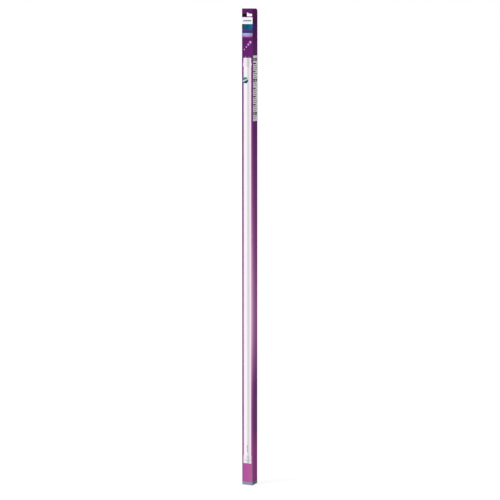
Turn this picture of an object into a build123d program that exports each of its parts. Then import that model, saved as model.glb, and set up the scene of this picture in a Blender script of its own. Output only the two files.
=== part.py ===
"""A slim hanging carton that holds one straight lamp, folded from one sheet of card and glued shut.

Millimetres, +Z up, front towards -Y. The origin is the crest of the hang hole, midway between the
front and the back, where a display peg carries the carton.
"""

import os

from build123d import *

# Carton, outside the card
carton_width = 30.5  # left to right
carton_depth = 30.5  # front to back
carton_length = 1260.0  # foot to crown

# Card
board = 0.5  # thickness
inside_fold_radius = 0.3  # inner radius of the long folds
crease_radius = 0.3  # outer radius of the short folds under the end flaps, which are set in by as much

# Header, the hollow hood above the lamp space, open at the back
header_height = 26.0  # crown down to the inner flap that closes the lamp space
roll_radius = 9.0  # outer radius of the crown flap's bend over the back edge
lip_clearance = 1.0  # crest of the hang hole up to the crown flap's free edge
dust_flap_length = 12.0  # side wall inwards, under the crown flap
dust_flap_clearance = 0.4  # front panel to each dust flap

# Hang hole in the front panel: a slot with a round lobe above its middle
crest_drop = 10.8  # crown down to the lobe's crest
slot_width = 27.5
slot_height = 6.8
slot_corner = 3.0  # radius of the slot's four corners
slot_end = 0.4  # least straight stretch between the two corners at each end of the slot
lobe_rise = 2.8  # crest above the slot's upper edge
lobe_radius = 5.5
lobe_blend = 1.0  # radius where the lobe runs into the slot's upper edge

# Glued seam at the back left edge, where the back panel's cut edge covers the glue flap's fold
seam_depth = 0.3  # side face inwards, to where the glue fills the groove

# Levels and half sizes that follow
crown = crest_drop
foot = crown - carton_length
header_floor = crown - header_height
lip = lip_clearance
half_width = carton_width / 2
half_depth = carton_depth / 2
fold_radius = inside_fold_radius + board
past = 2 * board  # how far a cutter reaches past the face that it opens


def sheet(left, right, low, high):
    """A rectangle between two pairs of sides."""
    return Pos((left + right) / 2, (low + high) / 2) * Rectangle(right - left, high - low)


def rounded(outline, x, y, radius):
    """The outline with its corner at x, y rounded."""
    return fillet(outline.vertices().sort_by_distance((x, y, 0))[0], radius)


def corner_cut(x, y, toward_x, toward_y, radius):
    """What rounding takes off a square corner at x, y, and the room outside the corner.

    The two signs say which way the corner points.
    """
    centre_x = x - toward_x * radius
    centre_y = y - toward_y * radius
    outer_x = x + toward_x * past
    outer_y = y + toward_y * past
    left, right = sorted((centre_x, outer_x))
    low, high = sorted((centre_y, outer_y))
    return sheet(left, right, low, high) - Pos(centre_x, centre_y) * Circle(radius)


def upright(outline, low, high):
    """A plan outline raised from one level to another."""
    return extrude(Pos(0, 0, low) * outline, amount=high - low)


def across(profile, half):
    """A side profile, depth by height, drawn out to both sides of the middle."""
    return extrude(Plane.YZ * profile, amount=half, both=True)


def through(profile, half):
    """A front profile, width by height, drawn out to the front and back of the middle."""
    return extrude(Plane.XZ * profile, amount=half, both=True)


def plan(back):
    """The carton seen from above, as far as a back edge, with its two front edges folded."""
    outline = sheet(-half_width, half_width, -half_depth, back)
    outline = rounded(outline, -half_width, -half_depth, fold_radius)
    return rounded(outline, half_width, -half_depth, fold_radius)


def seam_groove():
    """The groove beside the glue flap's fold, open to the left face, under the back panel's cut edge."""
    inner_face = half_depth - board
    fold_centre = inner_face - fold_radius
    groove = sheet(-half_width - past, -half_width + seam_depth, fold_centre, inner_face)
    return groove - Pos(-half_width + fold_radius, fold_centre) * Circle(fold_radius)


def lamp_space():
    """The closed length below the header, between the inner flap's fold and the foot flap.

    The foot flap is hinged on the back panel and set in from the other three edges.
    """
    outline = rounded(plan(half_depth), half_width, half_depth, fold_radius)
    body = upright(outline, foot, header_floor)
    body -= across(corner_cut(half_depth, header_floor, 1, 1, fold_radius), carton_width)
    body -= across(corner_cut(half_depth, foot, 1, -1, fold_radius), carton_width)
    body -= across(corner_cut(-half_depth, foot + board, -1, -1, crease_radius), carton_width)
    for side in (-1, 1):
        body -= through(corner_cut(side * half_width, foot + board, side, -1, crease_radius), carton_depth)
    return body - upright(seam_groove(), foot + board, header_floor)


def header_walls():
    """The front panel and the two side wings above the lamp space, with the hollow between them."""
    low = header_floor - fold_radius
    high = crown - board
    back = half_depth - board
    walls = upright(plan(back), low, high)
    walls -= across(corner_cut(back, high, 1, 1, roll_radius - board), carton_width)
    for side in (-1, 1):
        walls -= through(corner_cut(side * half_width, high, side, 1, crease_radius), carton_depth)
    inner_width = half_width - board
    inner_front = board - half_depth
    hollow = sheet(-inner_width, inner_width, inner_front, back + past)
    hollow = rounded(hollow, -inner_width, inner_front, inside_fold_radius)
    hollow = rounded(hollow, inner_width, inner_front, inside_fold_radius)
    return walls - upright(hollow, low - past, high + past)


def crown_flap():
    """The front panel's strip carried up, over the crown and down round the back to its free edge."""
    outer = sheet(-half_depth, half_depth, header_floor, crown)
    outer = rounded(outer, half_depth, crown, roll_radius)
    inner = sheet(board - half_depth, half_depth - board, header_floor - past, crown - board)
    inner = rounded(inner, board - half_depth, crown - board, inside_fold_radius)
    inner = rounded(inner, half_depth - board, crown - board, roll_radius - board)
    below_lip = sheet(0, half_depth + past, header_floor - past, lip)
    strip = across(outer - inner - below_lip, half_width - crease_radius)
    for side in (-1, 1):
        fold = corner_cut(side * half_width, -half_depth, side, -1, fold_radius)
        strip -= upright(fold, header_floor - past, crown + past)
    return strip


def dust_flap(side):
    """The flap that folds in from one side wing, under the crown flap."""
    wall = half_width - board
    middle = side * (wall - dust_flap_length / 2)
    front = board + dust_flap_clearance - half_depth
    back = half_depth - roll_radius
    outline = sheet(middle - dust_flap_length / 2, middle + dust_flap_length / 2, front, back)
    return upright(outline, crown - 2 * board, crown - board)


def header():
    """The hollow hood, with the fold between its front panel and its crown flap."""
    hood = header_walls() + crown_flap()
    for side in (-1, 1):
        hood += dust_flap(side)
    return hood - across(corner_cut(-half_depth, crown, -1, 1, fold_radius), carton_width)


def hang_hole():
    """The cutter for the slot and its lobe, through the front panel alone."""
    slot_top = -lobe_rise
    slot_bottom = slot_top - slot_height
    slot = sheet(-slot_width / 2, slot_width / 2, slot_bottom, slot_top)
    slot = fillet(slot.vertices(), min(slot_corner, (slot_height - slot_end) / 2))
    lobe = Pos(0, -lobe_radius) * Circle(lobe_radius)
    lobe = lobe & sheet(-lobe_radius, lobe_radius, slot_top - slot_height / 2, past)
    hole = slot + lobe
    meets = hole.vertices().sort_by_distance((0, slot_top, 0))
    hole = fillet(meets[:2], lobe_blend)
    panel = Plane.XZ.offset(half_depth + past)
    return extrude(panel * hole, amount=-(board + 2 * past))


carton = lamp_space() + header() - hang_hole()
carton.label = "carton"

os.makedirs("parts", exist_ok=True)
export_step(carton, "parts/carton.step")
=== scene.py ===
"""The looks of a slim hanging carton: its card, print and varnish, with a floor, light and a camera.

The scene is in metres, +Z up, front towards -Y. The print is laid out in millimetres: across a panel
from its middle, and down from the crown. Print colours are sRGB values from 0 to 255.
"""

import math
from itertools import count

import bmesh
import bpy
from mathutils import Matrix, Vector
from mathutils.geometry import delaunay_2d_cdt


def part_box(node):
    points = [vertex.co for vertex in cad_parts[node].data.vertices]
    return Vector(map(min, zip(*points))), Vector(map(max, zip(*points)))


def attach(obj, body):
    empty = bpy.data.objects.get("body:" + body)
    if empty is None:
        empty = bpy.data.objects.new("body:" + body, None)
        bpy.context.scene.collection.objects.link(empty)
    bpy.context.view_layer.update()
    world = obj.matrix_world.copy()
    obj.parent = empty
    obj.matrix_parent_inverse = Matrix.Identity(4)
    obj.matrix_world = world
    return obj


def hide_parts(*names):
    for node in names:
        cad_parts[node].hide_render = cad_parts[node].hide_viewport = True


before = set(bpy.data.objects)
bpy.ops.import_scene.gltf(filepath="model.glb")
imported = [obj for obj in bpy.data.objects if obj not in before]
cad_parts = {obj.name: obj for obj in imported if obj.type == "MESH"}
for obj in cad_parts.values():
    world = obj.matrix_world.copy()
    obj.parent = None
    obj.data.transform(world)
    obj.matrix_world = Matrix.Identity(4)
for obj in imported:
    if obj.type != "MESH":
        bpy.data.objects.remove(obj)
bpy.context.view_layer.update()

# Carton as packed, its two corners in metres and the rest in millimetres
MM = 0.001
carton_low, carton_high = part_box("carton")
crown = carton_high.z / MM
foot = carton_low.z / MM
half_width = carton_high.x / MM
half_depth = carton_high.y / MM
length = crown - foot

# Card
board = 0.5
fold_radius = 0.8
roll_radius = 9.0  # the crown's bend over the back edge
skin_limit = 0.1 * board  # a face this near to the outside is printed
inside_limit = 0.9 * board  # a face deeper than this is the card's inner side, and between them a cut edge

# Limits of the mesh work
flat_cosine = 0.99999  # a face this square to an axis is flat
flat_distance = 0.001  # a flat face this near to a panel's plane is part of the panel
merge_distance = 0.001  # points of the carton this near to each other are one
cut_distance = 0.0001  # points this near to a cut lie on it
print_distance = 0.004  # points of the print this near to each other are one
smooth_angle = math.radians(25)  # bends sharper than this keep their edge

# Bands down the front, from edge to edge
white_top = 22.6
white_bottom = 39.9
wave_end = 51.6  # where the teal band's wavy lower edge meets both front folds
wave_rise = 1.6
wave_steps = 24
level_end = 2.0  # curved band edges run level for this far from each side
curve_half = half_width - level_end
indigo_bottom = 63.2
lavender_bottom = 70.1
blush_top = 70.6
blush_bottom = 73.5
foot_band_height = 9.2  # the grey blue band that runs round the foot
foot_band_top = length - foot_band_height
foot_band_sag = 0.9  # lower in the middle of the front
foot_band_end = length + 1.0  # past the carton's foot
band_levels = (
    white_top, white_bottom, wave_end, indigo_bottom,
    lavender_bottom, blush_top, blush_bottom, foot_band_top,
)
rose_top = 1201.8  # the rose field under the pictured tube
rose_bottom = foot_band_top + 2 * foot_band_sag  # behind the foot band, which covers its lower end
rose_left = -11.6
rose_right = 13.4

# Row of slanted blocks on the white band
block_count = 8
block_pitch = 2.9
block_half = 1.05
block_top = 29.6
block_bottom = 33.4
block_slant = 0.8  # a block's upper end lies this far to the right of its lower end

# Row of dots that shrink down the front
dot_start = (8.6, 86.5)
dot_step = (-5.6, 6.2)
dot_radius = 3.3
dot_shrink = 0.76
dot_count = 4
dot_steps = 24

# Pictured tube on the front
tube_left = -10.7
tube_right = 11.15
cap_half = 11.1
cap_top = 126.7
cap_bottom = 150.3
cap_corner = 1.2
cap_flare = 1.6  # how far the cap's collar stands out on each side
cap_flare_drop = 143.9  # where the collar is widest
cap_flare_spread = 4.6
cap_steps = 18
pin_offset = 5.0
pin_half = 1.5
pin_top = 122.0
lower_cap_half = 11.7
lower_cap_top = 1179.6
lower_cap_bottom = 1200.9
ring_drop = 1192.7  # the ring round the lower cap
ring_half = 0.7

# Round badge across the tube's left edge
badge_across = -5.2
badge_drop = 184.6
badge_radius = 8.0
badge_tilt = math.radians(24)
badge_rim = 0.999  # the outermost chords lie just inside the circle, so that no outline has a point twice
badge_chords = (-badge_rim, -0.18, 0.26, badge_rim)
badge_steps = 14

# Row of small blocks on the tube's lower end
tick_top = 1151.5
tick_pitch = 4.9
tick_height = 3.4
tick_half = 0.9
tick_count = 4

# White panel on the right side, across from the middle of the side, with bars as headings and lines
label_front = -12.4
label_back = 12.4
label_top = 120.9
label_bottom = 290.4
label_margin = 1.2  # in front of the bars
label_end = 0.4  # behind them
headings = (  # the drop of each heading's first row, and its number of rows
    (129.0, 2), (141.3, 1), (162.2, 1), (182.9, 2),
    (205.6, 1), (226.8, 1), (248.0, 1), (268.7, 2),
)
heading_pitch = 4.0  # between two rows of a heading
heading_half = 1.6
heading_spread = 1.5  # how far the rows of headings differ in length
line_pitch = 5.2
line_half = 0.75
line_gap = 3.6  # least room between the last line and the next heading
line_indent = 2.0
line_spread = 5.0  # how far lines differ in length
bar_least = 4.0  # shortest bar, in half heights of its row
bar_spread = 8.0  # how far bars differ in length, in half heights
bar_room = 1.2  # between two bars, in half heights
golden = 0.618034  # spreads the lengths of rows and bars evenly, without a visible rhythm

# Print colours and some painted light and shade, most of them as stops of a gradient, each with its place
# in millimetres
PURPLE = (
    (0.0, (100, 27, 104)),
    (45.0, (88, 26, 90)),
    (97.0, (101, 36, 108)),
    (330.0, (100, 38, 104)),
    (560.0, (114, 50, 116)),
    (780.0, (140, 76, 136)),
    (900.0, (136, 72, 126)),
    (1060.0, (114, 50, 118)),
    (1160.0, (138, 70, 130)),
    (1260.0, (158, 80, 144)),
)
# The sides' own copy of the ground colour, with painted light and shade for how light falls on the sides:
# its paler middle is painted sheen
SIDE_PURPLE_PAINTED_LIGHT = (
    (0.0, (104, 32, 98)),
    (36.0, (82, 27, 82)),
    (105.0, (104, 46, 114)),
    (330.0, (112, 50, 124)),
    (640.0, (132, 66, 138)),
    (790.0, (163, 91, 155)),
    (870.0, (155, 86, 149)),
    (990.0, (115, 58, 119)),
    (1110.0, (124, 62, 123)),
    (1160.0, (160, 72, 140)),
    (1260.0, (160, 76, 146)),
)
# Painted sheen: a pale highlight painted into the ground colour beside the right front fold, on the front
# and the right side
sheen_width = 36.0  # the painted sheen beside the right front fold reaches this far from it
PAINTED_SHEEN = (
    (0.0, (216, 174, 206)),
    (6.0, (217, 156, 205)),
    (12.0, (200, 135, 186)),
    (sheen_width, (176, 102, 160)),
)
PAINTED_SHEEN_LEVEL = (  # share of the painted sheen down the carton
    (90.0, 0.0),
    (290.0, 0.05),
    (500.0, 0.27),
    (720.0, 0.76),
    (800.0, 0.88),
    (850.0, 0.82),
    (990.0, 0.24),
    (1060.0, 0.13),
)
PAINTED_SHEEN_TINT = (  # on the sides the painted sheen is rosier where it is weak
    (430.0, (255, 186, 224)),
    (746.0, (255, 255, 255)),
    (905.0, (255, 255, 255)),
    (1010.0, (255, 202, 238)),
)
DUSK = (74, 48, 136)  # tint on the right side beside the teal band
dusk_top = 37.0
dusk_bottom = 58.0
dusk_edge = 4.0  # over which the tint comes and goes
dusk_depth = 26.0  # over which it fades, from the front backwards
TEAL = (
    (-14.0, (26, 58, 84)),
    (-7.0, (40, 88, 112)),
    (-1.0, (4, 84, 92)),
    (5.0, (0, 98, 142)),
    (14.0, (34, 96, 148)),
)
INDIGO = (
    (49.5, (26, 70, 112)),
    (54.0, (62, 68, 122)),
    (57.0, (82, 58, 120)),
    (60.0, (68, 46, 104)),
    (63.0, (60, 62, 112)),
)
# The lavender band's print, darker at its left end by the left front fold: painted shade there
LAVENDER_WITH_PAINTED_SHADE = (
    (-15.0, (126, 128, 170)),
    (-11.0, (160, 170, 224)),
    (-2.0, (158, 180, 226)),
    (14.0, (146, 136, 188)),
)
BLUSH = (
    (-14.0, (142, 94, 168)),
    (0.0, (190, 130, 194)),
    (6.0, (192, 112, 140)),
    (14.0, (132, 70, 110)),
)
LILAC = ((80.0, (206, 156, 216)), (112.0, (226, 172, 234)))
TUBE = (
    (tube_left, (226, 186, 230)),
    (-8.6, (250, 238, 250)),
    (-4.0, (249, 246, 249)),
    (-1.6, (243, 238, 241)),
    (1.0, (219, 214, 215)),
    (3.6, (212, 208, 209)),
    (6.2, (230, 221, 226)),
    (8.8, (254, 234, 250)),
    (11.0, (246, 208, 238)),
)
CAP = (
    (-12.5, (220, 200, 224)),
    (-8.6, (244, 232, 246)),
    (-4.0, (244, 240, 244)),
    (-1.4, (222, 217, 221)),
    (2.2, (196, 194, 198)),
    (4.6, (198, 198, 202)),
    (7.6, (238, 226, 240)),
    (9.8, (250, 228, 250)),
    (12.5, (222, 190, 226)),
)
STEEL = ((-7.0, (150, 112, 156)), (0.0, (118, 94, 122)), (7.0, (104, 86, 108)))
MARK = ((1150.0, (92, 88, 98)), (1172.0, (104, 100, 110)))
BLUE = ((28.0, (44, 74, 112)), (35.0, (36, 92, 118)))
RING = ((-12.0, (214, 200, 212)), (3.0, (168, 172, 176)), (12.0, (196, 184, 206)))
SEA = ((174.0, (58, 112, 108)), (188.0, (96, 152, 150)))
ICE = ((178.0, (150, 200, 218)), (190.0, (190, 226, 238)))
NAVY = ((180.0, (52, 74, 106)), (194.0, (20, 42, 62)))
ROSE = (
    (rose_left, (174, 86, 160)),
    (-4.0, (178, 87, 158)),
    (6.0, (185, 91, 152)),
    (rose_right, (180, 97, 152)),
)
SLATE = ((1249.0, (134, 138, 168)), (1260.0, (134, 156, 168)))
# Darker copy of the foot band's colour for the sides: painted shade
SIDE_SLATE_PAINTED_SHADE = ((1249.0, (125, 122, 149)), (1260.0, (125, 138, 149)))
PAPER = ((120.0, (250, 247, 250)), (291.0, (246, 244, 247)))
GREY = ((120.0, (44, 42, 46)), (291.0, (52, 50, 52)))
WHITE = ((21.0, (246, 244, 248)), (40.0, (244, 247, 250)))
WORN = (214, 200, 212)
RAW_EDGE = ((0.0, (186, 172, 184)), (1260.0, (192, 180, 190)))
# The board's inner side: a near-black colour, darker further down, that paints the shade inside the carton
INSIDE_PAINTED_SHADE = ((0.0, (44, 24, 48)), (26.0, (34, 18, 38)))

# Finish. Each noise has its bumps to a millimetre, its detail, and its lowest and highest level
noise_low = 0.3  # plain noise from here
noise_high = 0.7  # to here is spread over the two levels
mottle_noise = (0.55, 3.0, 0.975, 1.025)  # brightness of the ink
wear_noise = (0.9, 4.0, 0.0, 0.09)  # share of worn card along the long folds
wear_start = 1.1  # wear begins this far from the corner of two panels
wear_full = 0.2  # and is full this far from it
print_roughness = (0.12, 2.0, 0.62, 0.76)
print_specular = 0.015
grain_noise = (1.3, 3.0, 0.0, 1.0)
grain_height = 0.02
buckle_noise = (0.035, 1.0, 0.0, 1.0)  # the card's slow unevenness
buckle_height = 8.0  # in heights of the grain
fibre_noise = (2.2, 4.0, 0.82, 1.12)  # brightness of bare board
board_roughness = (0.8, 2.0, 0.8, 0.95)
board_specular = 0.1
nap_noise = (2.6, 4.0, 0.0, 1.0)
edge_nap_height = 0.05
inside_nap_height = 0.03

# Camera, fitted to the corners of the carton in a picture 500 pixels wide
picture_pixels = 500
camera_focus_pixels = 1808.0
camera_azimuth = math.radians(24.82)
camera_elevation = math.radians(7.42)
camera_distance = 4.755
camera_aside = 0.00066  # aim point to the right of the carton's axis
camera_raised = 0.00024  # aim point above the carton's middle
camera_reach = 100.0  # past the floor's far corners
sensor_width = 36.0

# Light
key_direction = Vector((-0.62, -0.72, 0.32))  # from the carton to the lamp
key_strength = 2.2
key_spread = math.radians(18)
sky_level = 0.72
floor_reach = 30.0
floor_colour = 0.32
floor_glow = 0.76
floor_clearance = 0.05 * MM  # under the foot

# Flat map that holds the print when it is stored as a picture, with the long panels in stretches
map_name = "OFBake"
fine_fields = ((1, False, 0), (0, True, 0))  # outside of the front and of the right side
stretch_count = 4
short_limit = 100.0  # fields of the map under this height have a row of their own
plain_share = 0.3  # width of the plain long panels on the map, against the front and the right side
map_room = 1.3  # between two fields
map_least = 1.2  # width of the thinnest field


def linear(rgb):
    """An sRGB colour from 0 to 255 as a linear colour with full alpha."""
    shares = [c / 255 for c in rgb]
    return [s / 12.92 if s <= 0.04045 else ((s + 0.055) / 1.055) ** 2.4 for s in shares] + [1.0]


class Ink:
    """A node material under construction, with places in millimetres in the carton's frame."""

    def __init__(self, name):
        self.material = bpy.data.materials.new(name)
        self.material.use_nodes = True
        self.tree = self.material.node_tree
        self.shader = self.tree.nodes["Principled BSDF"]
        found = self.tree.nodes.new("ShaderNodeTexCoord")
        scaled = self.tree.nodes.new("ShaderNodeVectorMath")
        scaled.operation = "SCALE"
        scaled.inputs["Scale"].default_value = 1 / MM
        self.tree.links.new(found.outputs["Object"], scaled.inputs[0])
        self.place = scaled.outputs[0]
        axes = self.tree.nodes.new("ShaderNodeSeparateXYZ")
        self.tree.links.new(self.place, axes.inputs[0])
        self.x, self.y, self.z = axes.outputs
        self.drop = self.math("SUBTRACT", crown, self.z)

    def feed(self, socket, value):
        """Links an input to another node's output, or sets it to a number or colour."""
        if isinstance(value, bpy.types.NodeSocket):
            self.tree.links.new(value, socket)
        else:
            socket.default_value = value

    def math(self, operation, first, second=0.0):
        """An operation on one or two values."""
        node = self.tree.nodes.new("ShaderNodeMath")
        node.operation = operation
        self.feed(node.inputs[0], first)
        self.feed(node.inputs[1], second)
        return node.outputs[0]

    def eased(self, value, start, end, low=0.0, high=1.0):
        """A value carried smoothly from one range to another, and held at its ends."""
        node = self.tree.nodes.new("ShaderNodeMapRange")
        node.interpolation_type = "SMOOTHSTEP"
        for socket, setting in zip(node.inputs, (value, start, end, low, high)):
            self.feed(socket, setting)
        return node.outputs[0]

    def noise(self, scale, detail, low, high):
        """A noise of so many bumps to a millimetre, between two levels."""
        node = self.tree.nodes.new("ShaderNodeTexNoise")
        self.feed(node.inputs["Vector"], self.place)
        self.feed(node.inputs["Scale"], scale)
        self.feed(node.inputs["Detail"], detail)
        return self.eased(node.outputs[0], noise_low, noise_high, low, high)

    def gradient(self, value, stops):
        """A linear colour that changes with a value in millimetres."""
        first, last = stops[0][0], stops[-1][0]
        share = self.math("DIVIDE", self.math("SUBTRACT", value, first), last - first)
        node = self.tree.nodes.new("ShaderNodeValToRGB")
        self.feed(node.inputs[0], share)
        elements = node.color_ramp.elements
        while len(elements) < len(stops):
            elements.new(0.5)  # moved to its stop below
        for element, (at, colour) in zip(elements, stops):
            element.position = (at - first) / (last - first)
            element.color = colour
        return node.outputs[0]

    def ramp(self, value, stops):
        """A print colour that changes with a value in millimetres."""
        return self.gradient(value, [(at, linear(rgb)) for at, rgb in stops])

    def level(self, value, stops):
        """A share that changes with a value in millimetres."""
        return self.gradient(value, [(at, (share, share, share, 1.0)) for at, share in stops])

    def mix(self, share, first, second, blend="MIX"):
        """Two colours mixed by a share, through the node's colour sockets."""
        node = self.tree.nodes.new("ShaderNodeMix")
        node.data_type = "RGBA"
        node.blend_type = blend
        self.feed(node.inputs[0], share)
        self.feed(node.inputs[6], first)
        self.feed(node.inputs[7], second)
        return node.outputs[2]

    def bump(self, height, depth):
        """A relief of a depth in millimetres."""
        node = self.tree.nodes.new("ShaderNodeBump")
        self.feed(node.inputs["Height"], height)
        self.feed(node.inputs["Distance"], depth * MM)
        return node.outputs[0]


def printed(name, colour_of):
    """Card printed in a colour, with a little ink mottle, worn folds and a satin varnish."""
    ink = Ink(name)
    colour = ink.mix(1.0, colour_of(ink), ink.noise(*mottle_noise), "MULTIPLY")
    from_side = ink.math("SUBTRACT", half_width, ink.math("ABSOLUTE", ink.x))
    from_face = ink.math("SUBTRACT", half_depth, ink.math("ABSOLUTE", ink.y))
    fold = ink.eased(ink.math("MAXIMUM", from_side, from_face), wear_start, wear_full)
    worn = ink.math("MULTIPLY", fold, ink.noise(*wear_noise))
    ink.feed(ink.shader.inputs["Base Color"], ink.mix(worn, colour, linear(WORN)))
    ink.feed(ink.shader.inputs["Roughness"], ink.noise(*print_roughness))
    ink.feed(ink.shader.inputs["Specular IOR Level"], print_specular)
    buckles = ink.math("MULTIPLY", ink.noise(*buckle_noise), buckle_height)
    relief = ink.math("ADD", ink.noise(*grain_noise), buckles)
    ink.feed(ink.shader.inputs["Normal"], ink.bump(relief, grain_height))
    return ink.material


def banded(name, axis, stops):
    """Print whose colour changes along x or down from the crown."""
    return printed(name, lambda ink: ink.ramp(getattr(ink, axis), stops))


def side_share(ink):
    """0 on the front and back and 1 on the sides, with the folds between: it brings in the sides' copies
    of the colours, which hold painted light and shade.
    """
    return ink.eased(ink.math("ABSOLUTE", ink.x), half_width - fold_radius, half_width)


def slate_with_painted_shade(ink):
    """The foot band's colour, with painted shade on the sides: a darker copy of it there."""
    return ink.mix(side_share(ink), ink.ramp(ink.drop, SLATE), ink.ramp(ink.drop, SIDE_SLATE_PAINTED_SHADE))


def dusk_share(ink):
    """How strong the dusk tint is: only on the right side, and fading from the front backwards."""
    right_side = ink.eased(ink.x, half_width - fold_radius, half_width)
    backwards = ink.eased(ink.y, dusk_depth - half_depth, -half_depth)
    below = ink.eased(ink.drop, dusk_top, dusk_top + dusk_edge)
    above = ink.eased(ink.drop, dusk_bottom, dusk_bottom - dusk_edge)
    fading = ink.math("MULTIPLY", right_side, backwards)
    return ink.math("MULTIPLY", fading, ink.math("MULTIPLY", below, above))


def purple_with_painted_light(ink):
    """The ground colour of the front and the sides, with a painted sheen along the right front fold: paler
    near the fold, and fading away from it.
    """
    # Painted sheen: paler near the right front fold, by the distance from it and by the height; glow is
    # its share
    aside = ink.math("SUBTRACT", ink.x, half_width)
    behind = ink.math("ADD", ink.y, half_depth)
    square = ink.math("ADD", ink.math("MULTIPLY", aside, aside), ink.math("MULTIPLY", behind, behind))
    distance = ink.math("SQRT", square)
    near = ink.eased(distance, sheen_width, 0.0)
    glow = ink.math("MULTIPLY", near, ink.level(ink.drop, PAINTED_SHEEN_LEVEL))
    side = side_share(ink)
    # The sides take their copy of the ground, with painted light and shade
    ground = ink.mix(side, ink.ramp(ink.drop, PURPLE), ink.ramp(ink.drop, SIDE_PURPLE_PAINTED_LIGHT))
    pale = ink.mix(side, ink.ramp(distance, PAINTED_SHEEN), ink.ramp(ink.drop, PAINTED_SHEEN_TINT), "MULTIPLY")
    lit = ink.mix(glow, ground, pale)
    return ink.mix(dusk_share(ink), lit, linear(DUSK))


def uncoated(name, stops, nap_height):
    """Bare board, with coarse fibres."""
    ink = Ink(name)
    colour = ink.mix(1.0, ink.ramp(ink.drop, stops), ink.noise(*fibre_noise), "MULTIPLY")
    ink.feed(ink.shader.inputs["Base Color"], colour)
    ink.feed(ink.shader.inputs["Roughness"], ink.noise(*board_roughness))
    ink.feed(ink.shader.inputs["Specular IOR Level"], board_specular)
    ink.feed(ink.shader.inputs["Normal"], ink.bump(ink.noise(*nap_noise), nap_height))
    return ink.material


materials = {
    "purple": printed("purple_print_painted_light", purple_with_painted_light),
    "white": banded("white_print", "drop", WHITE),
    "teal": banded("teal_print", "x", TEAL),
    "indigo": banded("indigo_print", "drop", INDIGO),
    "lavender": banded("lavender_print_painted_shade", "x", LAVENDER_WITH_PAINTED_SHADE),
    "blush": banded("blush_print", "x", BLUSH),
    "lilac": banded("lilac_print", "drop", LILAC),
    "tube": banded("tube_print", "x", TUBE),
    "cap": banded("cap_print", "x", CAP),
    "ring": banded("ring_print", "x", RING),
    "steel": banded("steel_print", "x", STEEL),
    "mark": banded("mark_print", "drop", MARK),
    "blue": banded("blue_print", "drop", BLUE),
    "sea": banded("sea_print", "drop", SEA),
    "ice": banded("ice_print", "drop", ICE),
    "navy": banded("navy_print", "drop", NAVY),
    "rose": banded("rose_print", "x", ROSE),
    "slate": printed("slate_print_painted_shade", slate_with_painted_shade),
    "paper": banded("paper_print", "drop", PAPER),
    "grey": banded("grey_print", "drop", GREY),
    "raw_edge": uncoated("raw_board_edge", RAW_EDGE, edge_nap_height),
    # The inner side's colour is painted shade, near-black and darker further down
    "inside": uncoated("board_inside_painted_shade", INSIDE_PAINTED_SHADE, inside_nap_height),
}
slot_of = {name: slot for slot, name in enumerate(materials)}


def rectangle(left, right, top, bottom):
    """The four corners between two pairs of sides, across and down."""
    return [(left, top), (right, top), (right, bottom), (left, bottom)]


def spread(start, end, steps):
    """Evenly spaced values from start to end."""
    return [start + (end - start) * step / steps for step in range(steps + 1)]


def on_circle(across, drop, radius, angles):
    """Points on a circle at these angles, which turn upwards from the right."""
    return [(across + radius * math.cos(angle), drop - radius * math.sin(angle)) for angle in angles]


def teal_edge():
    """The teal band's lower edge, one slow wave from the right fold to the left one."""
    across = spread(curve_half, -curve_half, wave_steps)
    return [(x, wave_end + wave_rise * math.sin(math.pi * x / curve_half)) for x in across]


def foot_edge():
    """The foot band's upper edge on the front, lower in the middle."""
    across = spread(-curve_half, curve_half, wave_steps)
    return [(x, foot_band_top + foot_band_sag * (1 - (x / curve_half) ** 2)) for x in across]


def slanted_block(middle):
    """One block of the row on the white band."""
    lean = block_slant / 2
    left, right = middle - block_half, middle + block_half
    upper = [(left + lean, block_top), (right + lean, block_top)]
    return upper + [(right - lean, block_bottom), (left - lean, block_bottom)]


def dot(across, drop, radius):
    """A whole disc."""
    turn = spread(0.0, 2 * math.pi, dot_steps)
    return on_circle(across, drop, radius, turn[:-1])


def flared_cap():
    """The pictured tube's upper cap, with a collar that is widest above its end."""
    drops = spread(cap_top + cap_corner, cap_bottom, cap_steps)
    side = [(cap_half - cap_corner, cap_top)]
    for drop in drops:
        flare = cap_flare * math.exp(-(((drop - cap_flare_drop) / cap_flare_spread) ** 2))
        side.append((cap_half + flare, drop))
    return side + [(-x, drop) for x, drop in reversed(side)]


def badge_slice(low, high):
    """The round badge between two slanting chords, given as shares of its radius."""
    right = spread(math.asin(low), math.asin(high), badge_steps)
    left = [math.pi - angle for angle in reversed(right)]
    turned = [angle + badge_tilt for angle in right + left]
    return on_circle(badge_across, badge_drop, badge_radius, turned)


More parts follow.
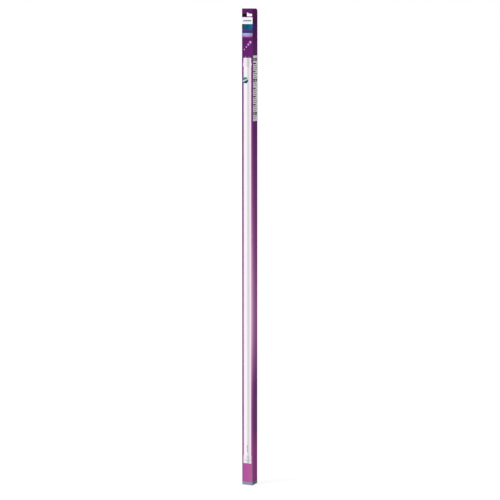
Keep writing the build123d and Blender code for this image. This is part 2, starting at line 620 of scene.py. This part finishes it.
def front_fields():
    """The front's print from the bottom layer up, each field with its outline."""
    wide = 2 * half_width
    teal_top = [(-wide, white_bottom), (wide, white_bottom)]
    foot_end = [(wide, foot_band_end), (-wide, foot_band_end)]
    fields = [
        ("white", rectangle(-wide, wide, white_top, white_bottom)),
        ("indigo", rectangle(-wide, wide, white_bottom, indigo_bottom)),
        ("teal", teal_top + [(wide, wave_end)] + teal_edge() + [(-wide, wave_end)]),
        ("lavender", rectangle(-wide, wide, indigo_bottom, lavender_bottom)),
        ("blush", rectangle(-wide, wide, blush_top, blush_bottom)),
        ("rose", rectangle(rose_left, rose_right, rose_top, rose_bottom)),
        ("slate", [(-wide, foot_band_top)] + foot_edge() + [(wide, foot_band_top)] + foot_end),
    ]
    for block in range(block_count):
        middle = (block - (block_count - 1) / 2) * block_pitch
        fields.append(("blue", slanted_block(middle)))
    for step in range(dot_count):
        across = dot_start[0] + step * dot_step[0]
        drop = dot_start[1] + step * dot_step[1]
        fields.append(("lilac", dot(across, drop, dot_radius * dot_shrink**step)))
    for side in (-1, 1):
        middle = side * pin_offset
        fields.append(("steel", rectangle(middle - pin_half, middle + pin_half, pin_top, cap_top)))
    fields += [
        ("cap", flared_cap()),
        ("tube", rectangle(tube_left, tube_right, cap_bottom, lower_cap_top)),
        ("cap", rectangle(-lower_cap_half, lower_cap_half, lower_cap_top, lower_cap_bottom)),
        ("ring", rectangle(-lower_cap_half, lower_cap_half, ring_drop - ring_half, ring_drop + ring_half)),
    ]
    for name, low, high in zip(("navy", "ice", "sea"), badge_chords, badge_chords[1:]):
        fields.append((name, badge_slice(low, high)))
    for tick in range(tick_count):
        top = tick_top + tick * tick_pitch
        fields.append(("mark", rectangle(-tick_half, tick_half, top, top + tick_height)))
    return fields


def bars(left, right, drop, half, shares):
    """One row of bars of uneven lengths."""
    row = []
    while left < right - bar_least * half:
        end = min(left + (bar_least + bar_spread * next(shares)) * half, right)
        row.append(("grey", rectangle(left, end, drop - half, drop + half)))
        left = end + bar_room * half
    return row


def side_fields():
    """The right side's white panel with its headings and lines of bars, and the foot band."""
    fields = [("paper", rectangle(label_front, label_back, label_top, label_bottom))]
    left = label_front + label_margin
    right = label_back - label_end
    ends = [drop for drop, rows in headings[1:]] + [label_bottom]
    shares = (index * golden % 1 for index in count(1))
    for (drop, rows), end in zip(headings, ends):
        for row in range(rows):
            level = drop + row * heading_pitch
            row_end = right - heading_spread * next(shares)
            fields += bars(left, row_end, level, heading_half, shares)
        level += line_pitch
        while level < end - line_gap:
            line_end = right - line_spread * next(shares)
            fields += bars(left + line_indent, line_end, level, line_half, shares)
            level += line_pitch
    wide = 2 * half_depth
    return fields + [("slate", rectangle(-wide, wide, foot_band_top, foot_band_end))]


def sides_of(points):
    """The pairs of points round a closed outline."""
    return list(zip(points, points[1:] + points[:1]))


def holds(sides, x, y):
    """Whether a point is inside an outline, given as pairs of points."""
    crossings = 0
    for (x0, y0), (x1, y1) in sides:
        if (y0 > y) != (y1 > y) and x < x0 + (x1 - x0) * (y - y0) / (y1 - y0):
            crossings += 1
    return crossings % 2 == 1


def top_field(layers, x, drop):
    """The uppermost field of the print at a point, or the purple ground."""
    for name, sides in reversed(layers):
        if holds(sides, x, drop):
            return name
    return "purple"


def corner_depth(first, second, radius):
    """How deep a point lies inside a rounded corner, from its depths inside the two faces."""
    if first < radius and second < radius:
        return radius - math.hypot(radius - first, radius - second)
    return min(first, second)


def skin_depth(x, y, z):
    """How deep a point lies inside the carton's outside."""
    return min(
        corner_depth(half_width - abs(x), half_depth - abs(y), fold_radius),
        corner_depth(crown - z, half_depth + y, fold_radius),
        corner_depth(crown - z, half_depth - y, roll_radius),
        corner_depth(z - foot, half_depth - y, fold_radius),
    )


def cut_levels(mesh, drops):
    """Cuts every panel straight across at these distances below the crown."""
    for drop in drops:
        geometry = list(mesh.verts) + list(mesh.edges) + list(mesh.faces)
        place = (0.0, 0.0, (crown - drop) * MM)
        bmesh.ops.bisect_plane(
            mesh, geom=geometry, dist=cut_distance * MM, plane_co=place, plane_no=(0, 0, 1)
        )


def card_of(face, layers):
    """The material of a face: print by its place, a cut edge of the board, or the board's inner side."""
    x, y, z = (value / MM for value in face.calc_center_median())
    depth = skin_depth(x, y, z)
    if depth > inside_limit:
        return "inside"
    seam = face.normal.x < -flat_cosine and y > half_depth - board
    if depth > skin_limit or seam:
        return "raw_edge"
    drop = crown - z
    if drop > foot_band_top:
        return "slate"
    faces_front = -face.normal.y > abs(face.normal.x) and z < crown - fold_radius
    return top_field(layers, x, drop) if faces_front else "purple"


def clear_panel(mesh, axis, sign, level):
    """Takes away the flat faces on one side of the carton, and gives the edges round their place."""
    flat = [
        face
        for face in mesh.faces
        if sign * face.normal[axis] > flat_cosine
        and abs(face.calc_center_median()[axis] - level * MM) < flat_distance * MM
    ]
    bmesh.ops.delete(mesh, geom=flat, context="FACES_ONLY")
    loose = [edge for edge in mesh.edges if not edge.link_faces]
    bmesh.ops.delete(mesh, geom=loose, context="EDGES")
    return [edge for edge in mesh.edges if len(edge.link_faces) == 1]


def reprint(mesh, axis, sign, fields):
    """Cuts the flat panel on one side of the carton along its print, with the same outline and holes."""
    level = sign * (half_width if axis == 0 else half_depth)
    along = 1 - axis
    rim = clear_panel(mesh, axis, sign, level)
    corners = list(dict.fromkeys(vert for edge in rim for vert in edge.verts))
    number = {vert: index for index, vert in enumerate(corners)}
    points = [(vert.co[along] / MM, crown - vert.co.z / MM) for vert in corners]
    edges = [(number[edge.verts[0]], number[edge.verts[1]]) for edge in rim]
    outline = [(points[a], points[b]) for a, b in edges]
    layers = [(name, sides_of(shape)) for name, shape in fields]
    for name, shape in fields:
        first = len(points)
        points += shape
        edges += [(first + i, first + (i + 1) % len(shape)) for i in range(len(shape))]
    found = delaunay_2d_cdt([Vector(point) for point in points], edges, [], 0, print_distance)
    places, triangles, sources = found[0], found[2], found[3]
    verts = {}
    for triangle in triangles:
        x = sum(places[i].x for i in triangle) / 3
        drop = sum(places[i].y for i in triangle) / 3
        if not holds(outline, x, drop):
            continue
        for i in triangle:
            if i not in verts:
                kept = [source for source in sources[i] if source < len(corners)]
                place = Vector((0.0, 0.0, (crown - places[i].y) * MM))
                place[axis] = level * MM
                place[along] = places[i].x * MM
                verts[i] = corners[kept[0]] if kept else mesh.verts.new(place)
        face = mesh.faces.new([verts[i] for i in triangle])
        face.normal_update()
        if sign * face.normal[axis] < 0:
            face.normal_flip()
        face.material_index = slot_of[top_field(layers, x, drop)]


def map_field(face):
    """The map's field for a face: which way the face looks, how deep it lies, and its stretch."""
    x, y, z = (value / MM for value in face.calc_center_median())
    axis = max(range(3), key=lambda i: abs(face.normal[i]))
    depth = skin_depth(x, y, z)
    layer = (depth > skin_limit) + (depth > inside_limit)
    stretch = int((crown - z) / length * stretch_count) if axis < 2 else 0
    return axis, face.normal[axis] > 0, layer, stretch


def laid_flat(vert, axis):
    """A corner's place on its field, in millimetres across and down."""
    x, y, z = (value / MM for value in vert.co)
    return (y if axis == 0 else x, y if axis == 2 else crown - z)


def map_rows(mesh):
    """The map's rows of long and short fields: the faces, axis, lowest place, size and room of each."""
    fields = {}
    for face in mesh.faces:
        fields.setdefault(map_field(face), []).append(face)
    long_row, short_row = [], []
    for field, faces in sorted(fields.items()):
        axis = field[0]
        places = [laid_flat(vert, axis) for face in faces for vert in face.verts]
        low = [min(values) for values in zip(*places)]
        size = [max(values) - least for values, least in zip(zip(*places), low)]
        short = size[1] < short_limit
        share = 1.0 if short or field[:3] in fine_fields else plain_share
        room = (max(size[0] * share, map_least), max(size[1], map_least))
        row = short_row if short else long_row
        row.append((faces, axis, low, size, room))
    return long_row, short_row


def lay_map(mesh):
    """Lays every face on a square map, the long panels side by side in stretches and the rest below."""
    cut_levels(mesh, [length * step / stretch_count for step in range(1, stretch_count)])
    mesh.normal_update()
    rows = map_rows(mesh)
    heights = [max(room[1] for *_, room in row) + map_room for row in rows]
    layer = mesh.loops.layers.uv.new(map_name)
    top = 0.0
    for row, height in zip(rows, heights):
        width = sum(room[0] + map_room for *_, room in row)
        left = 0.0
        for faces, axis, low, size, room in row:
            for loop in (loop for face in faces for loop in face.loops):
                across, down = laid_flat(loop.vert, axis)
                u = (left + (across - low[0]) / size[0] * room[0] + map_room / 2) / width
                v = (top + (down - low[1]) / size[1] * room[1] + map_room / 2) / sum(heights)
                loop[layer].uv = (u, 1 - v)
            left += room[0] + map_room
        top += height


def make_carton():
    """The carton's own mesh, cut along its print, with a material for each face."""
    mesh = bmesh.new()
    mesh.from_mesh(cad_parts["carton"].data)
    bmesh.ops.remove_doubles(mesh, verts=mesh.verts, dist=merge_distance * MM)
    cut_levels(mesh, band_levels)
    mesh.normal_update()
    front = front_fields()
    layers = [(name, sides_of(shape)) for name, shape in front]
    for face in mesh.faces:
        face.material_index = slot_of[card_of(face, layers)]
    reprint(mesh, 1, -1, front)
    reprint(mesh, 0, 1, side_fields())
    lay_map(mesh)
    for face in mesh.faces:
        face.smooth = True
    for edge in mesh.edges:
        curved = all(max(abs(part) for part in face.normal) < flat_cosine for face in edge.link_faces)
        edge.smooth = curved and edge.calc_face_angle(0.0) < smooth_angle
    data = bpy.data.meshes.new("carton_card")
    mesh.to_mesh(data)
    mesh.free()
    for material in materials.values():
        data.materials.append(material)
    card = bpy.data.objects.new("carton_card", data)
    bpy.context.scene.collection.objects.link(card)
    return card


def stage_rays(tree):
    """A value of 1 for the rays that see the background: straight, mirrored or through glass."""
    path = tree.nodes.new("ShaderNodeLightPath")
    seen = path.outputs["Is Camera Ray"]
    for name in ("Is Glossy Ray", "Is Transmission Ray"):
        either = tree.nodes.new("ShaderNodeMath")
        either.operation = "MAXIMUM"
        tree.links.new(seen, either.inputs[0])
        tree.links.new(path.outputs[name], either.inputs[1])
        seen = either.outputs[0]
    return seen


def make_floor():
    """A white floor at the carton's foot, which keeps the carton's soft shadow."""
    level = carton_low.z - floor_clearance
    corners = rectangle(-floor_reach, floor_reach, -floor_reach, floor_reach)
    data = bpy.data.meshes.new("floor")
    data.from_pydata([(x, y, level) for x, y in corners], [], [(0, 1, 2, 3)])
    material = bpy.data.materials.new("floor_white")
    material.use_nodes = True
    tree = material.node_tree
    tree.nodes.clear()
    matte = tree.nodes.new("ShaderNodeBsdfDiffuse")
    matte.inputs["Color"].default_value = (floor_colour, floor_colour, floor_colour, 1.0)
    strength = tree.nodes.new("ShaderNodeMath")
    strength.operation = "MULTIPLY"
    strength.inputs[1].default_value = floor_glow
    tree.links.new(stage_rays(tree), strength.inputs[0])
    glow = tree.nodes.new("ShaderNodeEmission")
    tree.links.new(strength.outputs[0], glow.inputs["Strength"])
    both = tree.nodes.new("ShaderNodeAddShader")
    tree.links.new(matte.outputs[0], both.inputs[0])
    tree.links.new(glow.outputs[0], both.inputs[1])
    output = tree.nodes.new("ShaderNodeOutputMaterial")
    tree.links.new(both.outputs[0], output.inputs["Surface"])
    data.materials.append(material)
    floor = bpy.data.objects.new("floor", data)
    bpy.context.scene.collection.objects.link(floor)


def make_light():
    """An even sky, white where it is seen, and one soft key lamp from the front left."""
    world = bpy.data.worlds.new("studio")
    world.use_nodes = True
    bpy.context.scene.world = world
    tree = world.node_tree
    background = tree.nodes["Background"]
    background.inputs["Color"].default_value = (1.0, 1.0, 1.0, 1.0)
    strength = tree.nodes.new("ShaderNodeMapRange")
    strength.inputs["To Min"].default_value = sky_level
    strength.inputs["To Max"].default_value = 1.0
    tree.links.new(stage_rays(tree), strength.inputs["Value"])
    tree.links.new(strength.outputs[0], background.inputs["Strength"])
    lamp = bpy.data.lights.new("key", "SUN")
    lamp.energy = key_strength
    lamp.angle = key_spread
    key = bpy.data.objects.new("key", lamp)
    key.rotation_euler = key_direction.to_track_quat("Z", "Y").to_euler()
    bpy.context.scene.collection.objects.link(key)


def make_camera():
    """The camera at the picture's viewing angle."""
    data = bpy.data.cameras.new("camera")
    data.sensor_width = sensor_width
    data.lens = camera_focus_pixels / picture_pixels * sensor_width
    data.clip_end = camera_reach
    right = Vector((math.cos(camera_azimuth), math.sin(camera_azimuth), 0.0))
    level = math.cos(camera_elevation)
    back = Vector((right.y * level, -right.x * level, math.sin(camera_elevation)))
    middle = Vector((0.0, 0.0, (carton_low.z + carton_high.z) / 2 + camera_raised))
    camera = bpy.data.objects.new("camera", data)
    camera.location = middle + camera_aside * right + camera_distance * back
    camera.rotation_euler = back.to_track_quat("Z", "Y").to_euler()
    bpy.context.scene.collection.objects.link(camera)
    bpy.context.scene.camera = camera


card = make_carton()
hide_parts("carton")
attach(card, "root")
make_floor()
make_light()
make_camera()
bpy.context.scene.view_settings.view_transform = "Standard"
